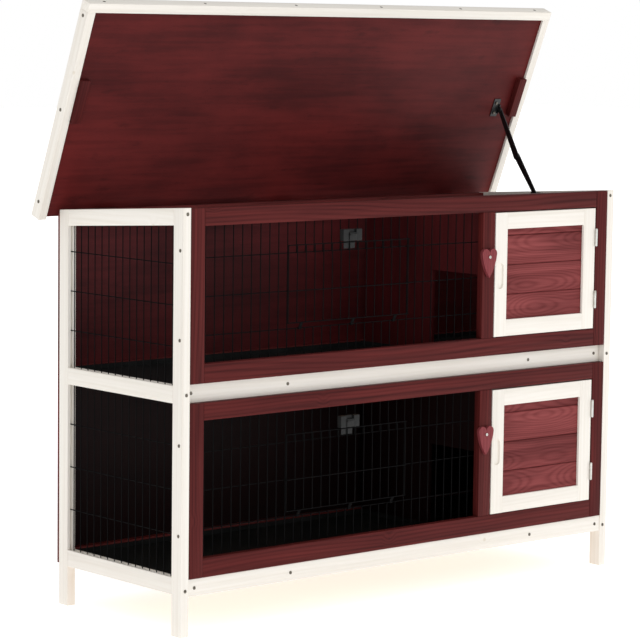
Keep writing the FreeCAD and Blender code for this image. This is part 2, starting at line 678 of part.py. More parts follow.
def door_hinge_half(z, fixed):
    """One leaf with its knuckles: fixed to the stile, or moving with the door."""
    bore = HINGE_PIN_R + PIN_CLEAR
    tubes = knuckles((DOOR_AXIS_X, DOOR_AXIS_Y, z), (0, 0, 1), HINGE_L, HINGE_R, bore, fixed)
    if fixed:
        x0 = NEST_X + NEST_W - HINGE_LEAF_T
    else:
        x0 = DOOR_X1
    leaf = box(x0, x0 + HINGE_LEAF_T, FRONT, FRONT + HINGE_LEAF_W, z, z + HINGE_L)
    tabs = []
    for tube in tubes:
        span = tube.BoundBox
        tab = box(x0, x0 + HINGE_LEAF_T, FRONT - HINGE_R, FRONT, span.ZMin, span.ZMax)
        tabs.append(tab)
    pin_space = rod((DOOR_AXIS_X, DOOR_AXIS_Y, z), (0, 0, 1), HINGE_L, bore)
    return joined([leaf] + tubes + tabs).cut(pin_space)


def small_doors():
    nodes = {}
    fixed = []
    for storey in STOREYS:
        starts = door_hinge_starts(storey)
        nodes[f"{storey}_door_frame"] = door_frame(storey)
        nodes[f"{storey}_door_boards"] = door_boards(storey)
        nodes[f"{storey}_door_hinge_leaves"] = group([door_hinge_half(z, False) for z in starts])
        fixed += [door_hinge_half(z, True) for z in starts]
    nodes["stile_hinge_leaves"] = group(fixed)
    return nodes


# ---- heart buttons ------------------------------------------------------------------
def heart_screw_point(storey):
    return (NEST_X - HEART_CLEAR - HEART_W / 2, FRONT, STOREYS[storey][1] - HEART_FROM_TOP)


def heart(storey):
    """A heart-shaped turn button: two round lobes and two long curved sides."""
    x, y, z = heart_screw_point(storey)
    lobe = HEART_W / 4
    top = z + HEART_SCREW_DROP
    shoulder = top - lobe
    tip = top - HEART_H
    front = y - HEART_STAND - HEART_T

    def point(dx, height):
        return V(x + dx, front, height)

    left_lobe = Part.Arc(point(-2 * lobe, shoulder), point(-lobe, top), point(0, shoulder))
    right_lobe = Part.Arc(point(0, shoulder), point(lobe, top), point(2 * lobe, shoulder))
    waist = HEART_WAIST_W / 2
    waist_z = shoulder - HEART_WAIST_AT
    right_side = Part.Arc(point(2 * lobe, shoulder), point(waist, waist_z), point(0, tip))
    left_side = Part.Arc(point(0, tip), point(-waist, waist_z), point(-2 * lobe, shoulder))
    edges = [curve.toShape() for curve in (left_lobe, right_lobe, right_side, left_side)]
    solid = Part.Face(Part.Wire(edges)).extrude(V(0, HEART_T, 0))
    return solid.cut(rod((x, front, z), (0, 1, 0), HEART_T, SCREW_R + PIN_CLEAR))


def round_screw(seat, tip_direction, length=SCREW_L):
    """A round-headed screw whose head sits on the point seat."""
    along = V(*tip_direction)
    start = V(*seat)
    head = Part.makeCylinder(SCREW_HEAD_R, SCREW_HEAD_T, start - along * SCREW_HEAD_T, along)
    shank = Part.makeCylinder(SCREW_R, length, start, along)
    return joined([head, shank])


def heart_screws():
    """Each screw holds its heart on a washer."""
    solids = []
    for storey in STOREYS:
        x, y, z = heart_screw_point(storey)
        seat = (x, y - HEART_STAND - HEART_T - PIN_CLEAR, z)
        solids.append(round_screw(seat, (0, 1, 0), length=HEART_STAND + HEART_T + SCREW_L))
        washer_y = y - HEART_STAND + WASHER_SLACK
        washer = rod((x, washer_y, z), (0, 1, 0), y - washer_y, WASHER_R)
        solids.append(washer.cut(rod((x, washer_y, z), (0, 1, 0), y - washer_y, SCREW_R + PIN_CLEAR)))
    return solids


# ---- back, decks, trays and partitions ----------------------------------------------
def back_panel():
    panel = box(-HALF_W, HALF_W, HALF_D, HALF_D + BACK_T, BACK_Z, REAR_TOP - BACK_TOP_DROP)
    return piloted(panel, back_leaf_seats(), (0, -1, 0))


def deck(top, front):
    """A floor board whose ends sit in the side rails' grooves."""
    rear = REAR_RAIL_FRONT - GAP
    x = INNER_X - GAP
    board = box(-x, x, front, rear, top - DECK_T, top)
    tongue = INNER_X + DECK_GROOVE - GROOVE_SLACK
    y = HALF_D - POST_D - GAP
    return joined([board, box(-tongue, tongue, max(front, -y), y, top - DECK_T, top)])


def tray(x0, x1, front, deck_top):
    """A shallow black tray with a rim all round."""
    y1 = REAR_RAIL_FRONT - TRAY_GAP
    z0 = deck_top + DECK_SLACK
    outer = box(x0, x1, front + TRAY_GAP, y1, z0, z0 + TRAY_H)
    inner = box(x0 + TRAY_WALL, x1 - TRAY_WALL, front + TRAY_GAP + TRAY_WALL, y1 - TRAY_WALL,
                z0 + TRAY_WALL, z0 + TRAY_H)
    return outer.cut(inner)


def partition(storey):
    """The wall between run and nest, with a doorway at its front lower corner."""
    base = STOREYS[storey][2] + DECK_SLACK
    top = MIDDLE_RAIL_Z - GAP if storey == "lower" else REAR_TOP - PARTITION_TOP_DROP
    front = FRAME_BACK + GAP
    rear = REAR_RAIL_FRONT - GAP
    doorway_y = front + DOORWAY_D
    doorway_z = base + DOORWAY_H
    outline = [(doorway_y, base), (rear, base), (rear, top), (front, top),
               (front, doorway_z), (doorway_y, doorway_z)]
    return prism(outline, PARTITION_X, PARTITION_X + PARTITION_T)


def interior():
    upper_front = MIDDLE_RAIL_BACK
    lower_front = BOTTOM_RAIL_BACK
    x_run = -INNER_X + TRAY_GAP
    x_nest = INNER_X - TRAY_GAP
    split0 = PARTITION_X - TRAY_GAP
    split1 = PARTITION_X + PARTITION_T + TRAY_GAP
    return {
        "deck_boards": group([deck(LOWER_DECK_TOP, lower_front + GAP),
                              deck(UPPER_DECK_TOP, upper_front + GAP)]),
        "run_trays": group([tray(x_run, split0, lower_front, LOWER_DECK_TOP),
                            tray(x_run, split0, upper_front, UPPER_DECK_TOP)]),
        "nest_trays": group([tray(split1, x_nest, lower_front, LOWER_DECK_TOP),
                             tray(split1, x_nest, upper_front, UPPER_DECK_TOP)]),
        "partitions": group([partition("lower"), partition("upper")]),
        "back_panel": back_panel(),
    }


# ---- lid, drawn level with the hinge axis as its origin, then raised ------------------
def raised(shape):
    """A piece of the lid, moved from the level drawing to the open lid."""
    turn = FreeCAD.Rotation(V(1, 0, 0), -LID_OPEN_DEG)
    return shape.transformed(FreeCAD.Placement(V(0, LID_AXIS_Y, LID_AXIS_Z), turn).toMatrix())


def lid_screws_level():
    height = LID_UNDER + (FASCIA_ABOVE - FASCIA_BELOW) / 2
    end_x = LID_HALF_W - FASCIA_SCREW_IN
    front_y = -LID_FRONT + FASCIA_SCREW_FRONT
    rear_y = -FASCIA_SCREW_REAR
    places = [((x, -LID_FRONT, height), (0, 1, 0)) for x in (-end_x, *FASCIA_SCREW_X, end_x)]
    for side in (-1, 1):
        for y in (front_y, (front_y + rear_y) / 2, rear_y):
            places.append(((side * LID_HALF_W, y, height), (-side, 0, 0)))
    return places


def lid_wood():
    screws = lid_screws_level()
    x = LID_HALF_W - FASCIA_T
    y0 = -LID_FRONT + FASCIA_T
    z0 = LID_UNDER
    low = z0 - FASCIA_BELOW
    high = z0 + FASCIA_ABOVE
    panel = drilled(box(-x, x, y0, LID_BACK, z0, z0 + LID_T), screws)
    panel = piloted(panel, lid_plate_seats() + lid_leaf_seats(), (0, 0, 1))
    felt = box(-x, x, y0, LID_BACK, z0 + LID_T, z0 + LID_T + FELT_T)
    side = drilled(box(x, LID_HALF_W, y0, LID_BACK + FASCIA_TAIL, low, high), screws)
    front = drilled(box(-LID_HALF_W, LID_HALF_W, -LID_FRONT, y0, low, high), screws)
    block_x = HALF_W + BLOCK_CLEAR
    block = box(block_x, block_x + BLOCK_W, -BLOCK_FROM_HINGE - BLOCK_L, -BLOCK_FROM_HINGE,
                z0 - BLOCK_T, z0)
    return {
        "lid_panel": panel,
        "lid_felt": felt,
        "lid_side_fascias": group([side, mirrored(side)]),
        "lid_front_fascia": front,
        "lid_blocks": group([block, mirrored(block)]),
    }


def leaf_screw_x():
    return [x + k * LEAF_SCREW_PITCH for x in LID_HINGE_X for k in (-1, 0, 1)]


def back_leaf_seats():
    """Where the screws of the fixed leaves sit, behind the back panel."""
    z = LID_AXIS_Z - LID_HINGE_R - KNUCKLE_CLEAR - LID_HINGE_LEAF_W / 2
    return [(x, HALF_D + BACK_T + LID_HINGE_LEAF_T, z) for x in leaf_screw_x()]


def lid_leaf_seats():
    """Where the screws of the moving leaves sit, under the level lid."""
    y = LID_HINGE_R + KNUCKLE_CLEAR + LID_LEAF_W / 2
    return [(x, y, LID_UNDER - LID_HINGE_LEAF_T) for x in leaf_screw_x()]


def lid_hinge_half(x, fixed):
    """One leaf: fixed on the back panel, or moving under the lid (drawn level)."""
    bore = LID_HINGE_PIN_R + PIN_CLEAR
    x0 = x - LID_HINGE_L / 2
    axis = (x0, LID_AXIS_Y, LID_AXIS_Z) if fixed else (x0, 0, 0)
    tubes = knuckles(axis, (1, 0, 0), LID_HINGE_L, LID_HINGE_R, bore, fixed)
    pieces = list(tubes)
    if fixed:
        y0 = HALF_D + BACK_T
        y1 = y0 + LID_HINGE_LEAF_T
        shoulder = LID_AXIS_Z - LID_HINGE_R - KNUCKLE_CLEAR
        pieces.append(box(x0, x0 + LID_HINGE_L, y0, y1, shoulder - LID_HINGE_LEAF_W, shoulder))
        for tube in tubes:
            span = tube.BoundBox
            pieces.append(box(span.XMin, span.XMax, y0 + KNUCKLE_CLEAR, y1, shoulder, LID_AXIS_Z))
    else:
        z1 = LID_UNDER
        z0 = z1 - LID_HINGE_LEAF_T
        shoulder = LID_HINGE_R + KNUCKLE_CLEAR
        pieces.append(box(x0, x0 + LID_HINGE_L, shoulder, shoulder + LID_LEAF_W, z0, z1))
        for tube in tubes:
            span = tube.BoundBox
            pieces.append(box(span.XMin, span.XMax, 0, shoulder, z0, z1 - KNUCKLE_CLEAR))
    half = joined(pieces).cut(rod(axis, (1, 0, 0), LID_HINGE_L, bore))
    if fixed:
        return piloted(half, back_leaf_seats(), (0, -1, 0))
    return piloted(half, lid_leaf_seats(), (0, 0, 1))


def hinge_pins():
    """The pins of the lid's and the small doors' hinges, with a small head at each end."""
    solids = []
    for x in LID_HINGE_X:
        start = (x - LID_HINGE_L / 2, LID_AXIS_Y, LID_AXIS_Z)
        solids.append(headed_pin(start, (1, 0, 0), LID_HINGE_L, LID_HINGE_PIN_R, LID_HINGE_R))
    for storey in STOREYS:
        for z in door_hinge_starts(storey):
            start = (DOOR_AXIS_X, DOOR_AXIS_Y, z)
            solids.append(headed_pin(start, (0, 0, 1), HINGE_L, HINGE_PIN_R, HINGE_R))
    return group(solids)


def headed_pin(start, direction, length, radius, knuckle_r):
    """A pin through knuckles of that length, with a head beyond each end."""
    along = V(*direction)
    first = V(*start)
    shaft = Part.makeCylinder(radius, length, first, along)
    head_r = knuckle_r - PIN_HEAD_IN
    heads = [Part.makeCylinder(head_r, PIN_HEAD_T, first - along * PIN_HEAD_T, along),
             Part.makeCylinder(head_r, PIN_HEAD_T, first + along * length, along)]
    return joined([shaft] + heads)


# ---- lid stay -----------------------------------------------------------------------
def lid_point(y, z, open_deg=LID_OPEN_DEG):
    """Where a point of the level lid lies in the YZ plane when the lid is raised."""
    a = math.radians(open_deg)
    return (LID_AXIS_Y + y * math.cos(a) + z * math.sin(a),
            LID_AXIS_Z - y * math.sin(a) + z * math.cos(a))


def stay_links():
    """Lengths of the lower and the upper link, from the open stay's bend and the shut stay's fold."""
    bend = math.radians(STAY_BEND_DEG)
    fold = math.radians(STAY_FOLD_DEG)
    span = math.hypot(LID_PIVOT[0] - STAY_BODY_Y, LID_PIVOT[1] - STAY_BODY_Z)
    shortest = 0.0
    longest = span
    while longest - shortest > 1e-7:
        lower = (shortest + longest) / 2
        upper = math.sqrt(span ** 2 - (lower * math.sin(bend)) ** 2) - lower * math.cos(bend)
        reach = math.hypot(STAY_BODY_Y + lower * math.cos(fold) - SHUT_LID_PIVOT[0],
                           STAY_BODY_Z - lower * math.sin(fold) - SHUT_LID_PIVOT[1])
        if reach < upper:
            shortest = lower
        else:
            longest = lower
    return lower, upper


def elbow(lid_pivot):
    """The stay's elbow behind the line from its body pivot to its lid pivot."""
    dy = lid_pivot[0] - STAY_BODY_Y
    dz = lid_pivot[1] - STAY_BODY_Z
    span = math.hypot(dy, dz)
    along = (STAY_LOWER ** 2 - STAY_UPPER ** 2 + span ** 2) / (2 * span)
    off = math.sqrt(STAY_LOWER ** 2 - along ** 2)
    return (STAY_BODY_Y + (along * dy + off * dz) / span,
            STAY_BODY_Z + (along * dz - off * dy) / span)


LID_PIVOT_LEVEL = (-STAY_LID_Y, LID_UNDER - STAY_LID_DROP)
LID_PIVOT = lid_point(*LID_PIVOT_LEVEL)
SHUT_LID_PIVOT = lid_point(*LID_PIVOT_LEVEL, open_deg=LID_CLOSED_DEG)
STAY_LOWER, STAY_UPPER = stay_links()
ELBOW = elbow(LID_PIVOT)


def link(start, start_r, end, end_r, x0):
    """A flat link with round ends that widens from one pivot to the other."""
    dy = end[0] - start[0]
    dz = end[1] - start[1]
    span = math.hypot(dy, dz)
    uy = dy / span
    uz = dz / span
    corners = [(start[0] - uz * start_r, start[1] + uy * start_r),
               (start[0] + uz * start_r, start[1] - uy * start_r),
               (end[0] + uz * end_r, end[1] - uy * end_r),
               (end[0] - uz * end_r, end[1] + uy * end_r)]
    bar = prism(corners, x0, x0 + LINK_T)
    ends = [rod((x0, *start), (1, 0, 0), LINK_T, start_r),
            rod((x0, *end), (1, 0, 0), LINK_T, end_r)]
    return joined([bar] + ends)


def stay():
    """Upper link on the lid, lower link on the body, their elbow rivet split between them."""
    upper_x = STAY_X
    lower_x = STAY_X + LINK_T + LINK_GAP
    bore = RIVET_R + PIN_CLEAR
    upper = link(LID_PIVOT, LINK_END_R, ELBOW, LINK_ELBOW_R, upper_x)
    upper = upper.cut(rod((upper_x, *LID_PIVOT), (1, 0, 0), LINK_T, bore))
    elbow_rivet = rod((upper_x - RIVET_HEAD_T, *ELBOW), (1, 0, 0), RIVET_HEAD_T, RIVET_HEAD_R)
    lower = link((STAY_BODY_Y, STAY_BODY_Z), LINK_END_R, ELBOW, LINK_ELBOW_R, lower_x)
    lower = lower.cut(rod((lower_x, STAY_BODY_Y, STAY_BODY_Z), (1, 0, 0), LINK_T, bore))
    elbow_cap = rod((lower_x + LINK_T, *ELBOW), (1, 0, 0), RIVET_HEAD_T, RIVET_HEAD_R)
    return {
        "stay_upper_link": group([upper, elbow_rivet]),
        "stay_lower_link": group([lower, elbow_cap]),
        "stay_lid_bracket": raised(lid_bracket()),
        "stay_body_bracket": body_bracket(),
    }


def lid_bracket():
    """A plate under the lid with an ear, and the rivet that the upper link turns on."""
    ear_x1 = STAY_X - LINK_GAP
    ear_x0 = ear_x1 - BRACKET_T
    y, z = LID_PIVOT_LEVEL
    plate_y = y - LID_PLATE_AHEAD
    plate = box(ear_x1 - LID_PLATE_W, ear_x1, plate_y - LID_PLATE_L / 2, plate_y + LID_PLATE_L / 2,
                LID_UNDER - BRACKET_T, LID_UNDER)
    plate = piloted(plate, lid_plate_seats(), (0, 0, 1))
    ear = rod((ear_x0, y, z), (1, 0, 0), BRACKET_T, LINK_END_R + EAR_RIM)
    web = box(ear_x0, ear_x1, y - WEB_L / 2, y + WEB_L / 2, z, LID_UNDER)
    rivet = rod((ear_x0, y, z), (1, 0, 0), BRACKET_T + 2 * LINK_GAP + LINK_T, RIVET_R)
    head = rod((STAY_X + LINK_T + PIN_CLEAR, y, z), (1, 0, 0), RIVET_HEAD_T, RIVET_HEAD_R)
    return joined([plate, ear, web, rivet, head])


def lid_plate_seats():
    """Where the lid bracket's screws sit, under the level lid."""
    x = STAY_X - LINK_GAP - PLATE_SCREW_IN
    y = LID_PIVOT_LEVEL[0] - LID_PLATE_AHEAD
    return [(x, y + side * PLATE_SCREW_PITCH / 2, LID_UNDER - BRACKET_T) for side in (-1, 1)]


def body_bracket():
    """A plate on the right side's top rail, with the stud that the lower link turns on."""
    x1 = INNER_X
    x0 = x1 - BRACKET_T
    link_x1 = STAY_X + 2 * LINK_T + LINK_GAP
    plate = box(x0, x1, STAY_BODY_Y - BODY_PLATE_D / 2, STAY_BODY_Y + BODY_PLATE_D / 2,
                STAY_BODY_Z + LINK_END_R - BODY_PLATE_H, STAY_BODY_Z + LINK_END_R)
    plate = piloted(plate, body_plate_seats(), (1, 0, 0))
    boss = rod((link_x1 + LINK_GAP, STAY_BODY_Y, STAY_BODY_Z), (1, 0, 0), x0 - link_x1 - LINK_GAP, LINK_END_R)
    stud_x0 = STAY_X + LINK_T + LINK_GAP
    stud = rod((stud_x0, STAY_BODY_Y, STAY_BODY_Z), (1, 0, 0), x0 - stud_x0, RIVET_R)
    return joined([plate, boss, stud])


def body_plate_seats():
    """Where the body bracket's screws sit."""
    z = STAY_BODY_Z + LINK_END_R - BODY_PLATE_H + PLATE_SCREW_UP
    return [(INNER_X - BRACKET_T, STAY_BODY_Y + side * PLATE_SCREW_PITCH / 2, z) for side in (-1, 1)]


# ---- everything ---------------------------------------------------------------------
def all_nodes():
    nodes = {}
    nodes.update(side_frames())
    nodes.update(side_fillings())
    nodes.update(cross_rails())
    for storey in STOREYS:
        nodes.update(front_frame(storey))
        nodes[f"{storey}_front_mesh"] = front_mesh(storey)
        nodes[f"{storey}_wire_door"] = wire_door(storey)
        nodes[f"{storey}_latch_catch"] = latch_catch(storey)
        nodes[f"{storey}_heart_button"] = heart(storey)
    nodes["latch_bodies"] = group([latch_body(storey) for storey in STOREYS])
    nodes.update(small_doors())
    nodes.update(interior())
    for name, shape in lid_wood().items():
        nodes[name] = raised(shape)
    nodes["lid_hinge_leaves"] = raised(group([lid_hinge_half(x, False) for x in LID_HINGE_X]))
    nodes["back_hinge_leaves"] = group([lid_hinge_half(x, True) for x in LID_HINGE_X])
    nodes["hinge_pins"] = hinge_pins()
    nodes.update(stay())
    fixed_screws = [round_screw(seat, (1, 0, 0)) for seat in body_plate_seats()]
    fixed_screws += [round_screw(seat, (0, -1, 0)) for seat in back_leaf_seats()]
    nodes["round_screws"] = group(heart_screws() + fixed_screws)
    nodes["frame_screws"] = group([screw(*place) for place in BODY_SCREWS])
    lid_screws = [screw(*place) for place in lid_screws_level()]
    lid_screws += [round_screw(seat, (0, 0, 1)) for seat in lid_plate_seats() + lid_leaf_seats()]
    nodes["lid_screws"] = raised(group(lid_screws))
    return nodes


def print_joints():
    """Axes and ranges that the model's moving parts need, in the model's frame."""
    travel = LID_OPEN_DEG - LID_CLOSED_DEG
    closed_elbow = elbow(SHUT_LID_PIVOT)

    def turn(a, b, c, d):
        """Angle about -X from the direction a-b to the direction c-d."""
        first = math.atan2(b[1] - a[1], b[0] - a[0])
        second = math.atan2(d[1] - c[1], d[0] - c[0])
        return -math.degrees((second - first + math.pi) % (2 * math.pi) - math.pi)

    body = (STAY_BODY_Y, STAY_BODY_Z)
    lower_turn = turn(body, ELBOW, body, closed_elbow)
    upper_turn = turn(LID_PIVOT, ELBOW, SHUT_LID_PIVOT, closed_elbow) + travel
    print("lid axis", LID_AXIS_Y, LID_AXIS_Z, "closing travel", travel)
    print("stay links", STAY_LOWER, STAY_UPPER)
    print("stay lid pivot", LID_PIVOT, "body pivot", body, "elbow", ELBOW)
    print("ratios to the lid about -X: lower", lower_turn / -travel, "upper", upper_turn / -travel)
    print("closed elbow", closed_elbow, "lid underside there",
          LID_AXIS_Z + math.tan(math.radians(LID_CLOSED_DEG)) * (LID_AXIS_Y - closed_elbow[0])
          + LID_UNDER / math.cos(math.radians(LID_CLOSED_DEG)))
    print("door axis", DOOR_AXIS_X, DOOR_AXIS_Y)
    for storey in STOREYS:
        print(storey, "wire door axis", MESH_CROSS_Y, mesh_rows(storey)[1],
              "heart", heart_screw_point(storey), "latch", latch_place(storey))
    print("partition", PARTITION_X, "decks", LOWER_DECK_TOP, UPPER_DECK_TOP,
          "mullion", MULLION_X, NEST_X, "doors", DOOR_X0, DOOR_X1)


os.makedirs("parts", exist_ok=True)
for node_name, node_shape in all_nodes().items():
    node_shape.exportStep(f"parts/{node_name}.step")
print_joints()
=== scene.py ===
"""The looks of a two-storey rabbit hutch with its lid up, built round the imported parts. Metres, Z up."""
import math

import bpy
import numpy as np
from mathutils import Euler, Matrix, Vector


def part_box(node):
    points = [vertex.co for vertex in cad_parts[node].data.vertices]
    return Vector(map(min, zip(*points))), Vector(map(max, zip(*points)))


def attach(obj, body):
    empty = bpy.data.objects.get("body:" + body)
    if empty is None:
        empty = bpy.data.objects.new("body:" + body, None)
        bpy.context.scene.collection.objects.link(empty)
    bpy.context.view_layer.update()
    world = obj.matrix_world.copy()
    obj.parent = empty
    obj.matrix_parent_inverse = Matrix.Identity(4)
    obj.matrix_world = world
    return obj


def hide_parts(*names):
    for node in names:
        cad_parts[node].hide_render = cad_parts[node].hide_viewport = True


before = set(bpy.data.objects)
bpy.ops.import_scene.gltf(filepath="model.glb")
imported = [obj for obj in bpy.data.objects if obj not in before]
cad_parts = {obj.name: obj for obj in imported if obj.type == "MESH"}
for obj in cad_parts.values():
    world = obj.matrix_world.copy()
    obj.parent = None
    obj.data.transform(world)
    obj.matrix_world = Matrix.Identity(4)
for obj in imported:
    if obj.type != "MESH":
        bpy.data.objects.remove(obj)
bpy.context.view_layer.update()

MM = 0.001
STOREYS = ("lower", "upper")
LID_OPEN = math.radians(68.1)      # lid's underside to the horizontal

# How far each kind of edge is eased
TIMBER_EDGE = 1.1 * MM
DOOR_EDGE = 0.9 * MM
PLY_EDGE = 0.5 * MM
HEART_EDGE = 1.8 * MM
PLASTIC_EDGE = 0.8 * MM
BOARD_PITCH = 68.2 * MM
DOOR_MEMBER = 38.0 * MM      # width of the small doors' stiles and rails
TOUCHING = 0.02 * MM
SCREW_HEAD_R = 3.6 * MM
SCREW_HEAD_T = 1.5 * MM
WASHER_R = 4.6 * MM
MIDDLE_HEIGHT = 0.505      # between the storeys
FIRST_JOINT_UP = 64.0 * MM  # from the lower edge of a small door's boards to their first joint
SAME_PLACE = 0.01 * MM      # corners nearer than this are one corner
FLAT = math.radians(0.6)    # faces that meet at less than this are one face
SMOOTH = math.radians(35)
SCREW_TURN = 0.7            # each screw's recess stands this much further round than the last
PAINTED_SHADE_BLEND = 0.02           # height over which the lower storey's painted shade fades in
WORLD_LIGHT = 0.72
KEY_LIGHT = 38.0
KEY_SIZE = 3.5
FLOOR_SIZE = 60.0
LENS = 151.2955
SENSOR = 36.0
FAR = 200.0
CAMERA_PLACE = (-4.07517, -4.58896, 1.27550)
CAMERA_TURN = (83.84042, -0.72813, -40.95372)    # degrees


# ---- shader maths -------------------------------------------------------------------
class Number:
    """A number that changes over a surface: arithmetic on it adds Math nodes."""

    def __init__(self, finish, socket):
        self.finish = finish
        self.socket = socket

    def maths(self, operation, *values):
        inputs = dict(enumerate(values))
        return Number(self.finish, self.finish.node("Math", {"operation": operation}, inputs).outputs[0])

    def __add__(self, other):
        return self.maths("ADD", self, other)

    def __sub__(self, other):
        return self.maths("SUBTRACT", self, other)

    def __rsub__(self, other):
        return self.maths("SUBTRACT", other, self)

    def __mul__(self, other):
        return self.maths("MULTIPLY", self, other)

    def __pow__(self, other):
        return self.maths("POWER", self, other)

    def sine(self):
        return self.maths("SINE", self)

    def floor(self):
        return self.maths("FLOOR", self)

    def ramp(self, low, high, out_low=0.0, out_high=1.0):
        """Smooth rise from out_low to out_high as the number goes from low to high."""
        settings = {"interpolation_type": "SMOOTHSTEP"}
        inputs = {"Value": self, "From Min": low, "From Max": high, "To Min": out_low, "To Max": out_high}
        return Number(self.finish, self.finish.node("MapRange", settings, inputs).outputs[0])

    __radd__ = __add__
    __rmul__ = __mul__


class Finish:
    """A material, with one method that adds any node to it."""

    def __init__(self, name, roughness=0.5, metallic=0.0, specular=0.5):
        self.material = bpy.data.materials.new(name)
        self.material.use_nodes = True
        self.tree = self.material.node_tree
        self.shader = self.tree.nodes["Principled BSDF"]
        self.shader.inputs["Roughness"].default_value = roughness
        self.shader.inputs["Metallic"].default_value = metallic
        self.shader.inputs["Specular IOR Level"].default_value = specular
        self.place = self.node("TexCoord", {}, {}).outputs["Object"]

    def node(self, kind, settings, inputs):
        made = self.tree.nodes.new("ShaderNode" + kind)
        for key, value in settings.items():
            setattr(made, key, value)
        for key, value in inputs.items():
            self.feed(made.inputs[key], value)
        return made

    def feed(self, socket, value):
        if isinstance(value, Number):
            value = value.socket
        if isinstance(value, bpy.types.NodeSocket):
            self.tree.links.new(value, socket)
        else:
            socket.default_value = value

    def number(self, socket):
        return Number(self, socket)

    def turned(self, rotation, stretch=(1.0, 1.0, 1.0)):
        """The place on the surface, turned and then stretched."""
        turn = self.node("Mapping", {}, {"Vector": self.place, "Rotation": rotation})
        return self.stretched(turn.outputs[0], stretch)

    def stretched(self, vector, stretch):
        scaled = self.node("VectorMath", {"operation": "MULTIPLY"}, {0: vector, 1: stretch})
        return scaled.outputs["Vector"]

    def noise(self, vector, scale=1.0, detail=3.0, roughness=0.5):
        inputs = {"Vector": vector, "Scale": scale, "Detail": detail, "Roughness": roughness}
        return self.number(self.node("TexNoise", {}, inputs).outputs["Fac"])

    def mixed(self, factor, first, second):
        """A colour between first and second."""
        made = self.node("Mix", {"data_type": "RGBA"}, {0: factor, 6: first, 7: second})
        return made.outputs[2]

    def coloured(self, colour):
        self.feed(self.shader.inputs["Base Color"], colour)

    def roughened(self, number):
        self.feed(self.shader.inputs["Roughness"], number)

    def bumped(self, height, depth):
        """Relief from a height between 0 and 1, that many metres deep."""
        inputs = {"Height": height, "Distance": depth, "Strength": 1.0}
        bump = self.node("Bump", {}, inputs)
        self.feed(self.shader.inputs["Normal"], bump.outputs["Normal"])


def rgb(red, green, blue):
    """A colour given as it looks on a screen, 0 to 255."""
    def linear(level):
        level /= 255
        return level / 12.92 if level <= 0.04045 else ((level + 0.055) / 1.055) ** 2.4
    return (linear(red), linear(green), linear(blue), 1.0)


# ---- finishes -----------------------------------------------------------------------
QUARTER = math.pi / 2
GRAIN = {
    "x": (0.0, 0.0, 0.0),
    "y": (0.0, 0.0, -QUARTER),
    "z": (0.0, QUARTER, 0.0),
    "lid": (LID_OPEN, 0.0, QUARTER),
}


class Pine:
    """Growth rings, fibres and knots of planed pine, with the grain along the turned place's X."""

    RING = 1500.0        # phase of the rings, in radians for each metre away from the pith
    KNOT_CELL = (3.4, 12.0, 12.0)    # knots in a metre, along and across the grain

    def __init__(self, finish, grain, boards=None):
        place = finish.turned(GRAIN[grain])
        if boards:
            place, away_from_pith = self.board_by_board(finish, place, *boards)
        else:
            away_from_pith = self.straight_grained(finish, place)
        away = self.knot_distance(finish, place)
        self.knot = away.ramp(0.0022, 0.0062, 1.0, 0.0)
        bend = away.ramp(0.002, 0.026, 1.0, 0.0)
        phase = away_from_pith * self.RING + bend * 8.0
        self.ring = (phase.sine() * 0.5 + 0.5) ** 1.8
        self.fibre = finish.noise(finish.stretched(place, (14.0, 900.0, 900.0)), detail=2.0)
        self.streak = finish.noise(finish.stretched(place, (1.6, 95.0, 95.0)), detail=4.0, roughness=0.6)
        self.patch = finish.noise(finish.stretched(place, (2.6, 14.0, 14.0)), detail=3.0)

    def straight_grained(self, finish, place):
        """Metres from a far-off pith that wanders a little along the piece."""
        parts = finish.node("SeparateXYZ", {}, {0: place})
        drift = finish.noise(finish.stretched(place, (1.1, 8.0, 8.0)), detail=2.0)
        across = finish.number(parts.outputs[1])
        deep = finish.number(parts.outputs[2])
        return across * 0.55 + deep * 0.4 + drift * 0.03

    def board_by_board(self, finish, place, start, pitch):
        """Each board is flat-sawn from another part of the tree, its pith at its own height and depth."""
        parts = finish.node("SeparateXYZ", {}, {0: finish.place})
        rise = (finish.number(parts.outputs[2]) - start) * (1.0 / pitch)
        index = rise.floor()
        along = index * 1.37
        shift = finish.node("CombineXYZ", {}, {0: along, 1: index * 0.613, 2: index * 0.29})
        moved = finish.node("VectorMath", {"operation": "ADD"}, {0: place, 1: shift.outputs[0]}).outputs[0]
        across = (rise - index - 0.5 + (index * 2.4).sine() * 0.3) * pitch
        lengthwise = finish.stretched(moved, (3.4, 1.5, 1.5))
        depth = finish.noise(lengthwise, detail=1.0) * 0.085 - 0.012
        away = (across * across + depth * depth) ** 0.5
        return moved, away

    def knot_distance(self, finish, place):
        """Metres to the middle of the nearest knot."""
        scaled = finish.stretched(place, self.KNOT_CELL)
        cells = finish.node("TexVoronoi", {"feature": "F1"}, {"Vector": scaled, "Scale": 1.0})
        between = {0: cells.outputs["Position"], 1: scaled}
        gap = finish.node("VectorMath", {"operation": "SUBTRACT"}, between)
        real = finish.stretched(gap.outputs[0], tuple(1.0 / n for n in self.KNOT_CELL))
        length = finish.node("VectorMath", {"operation": "LENGTH"}, {0: real})
        return finish.number(length.outputs["Value"])


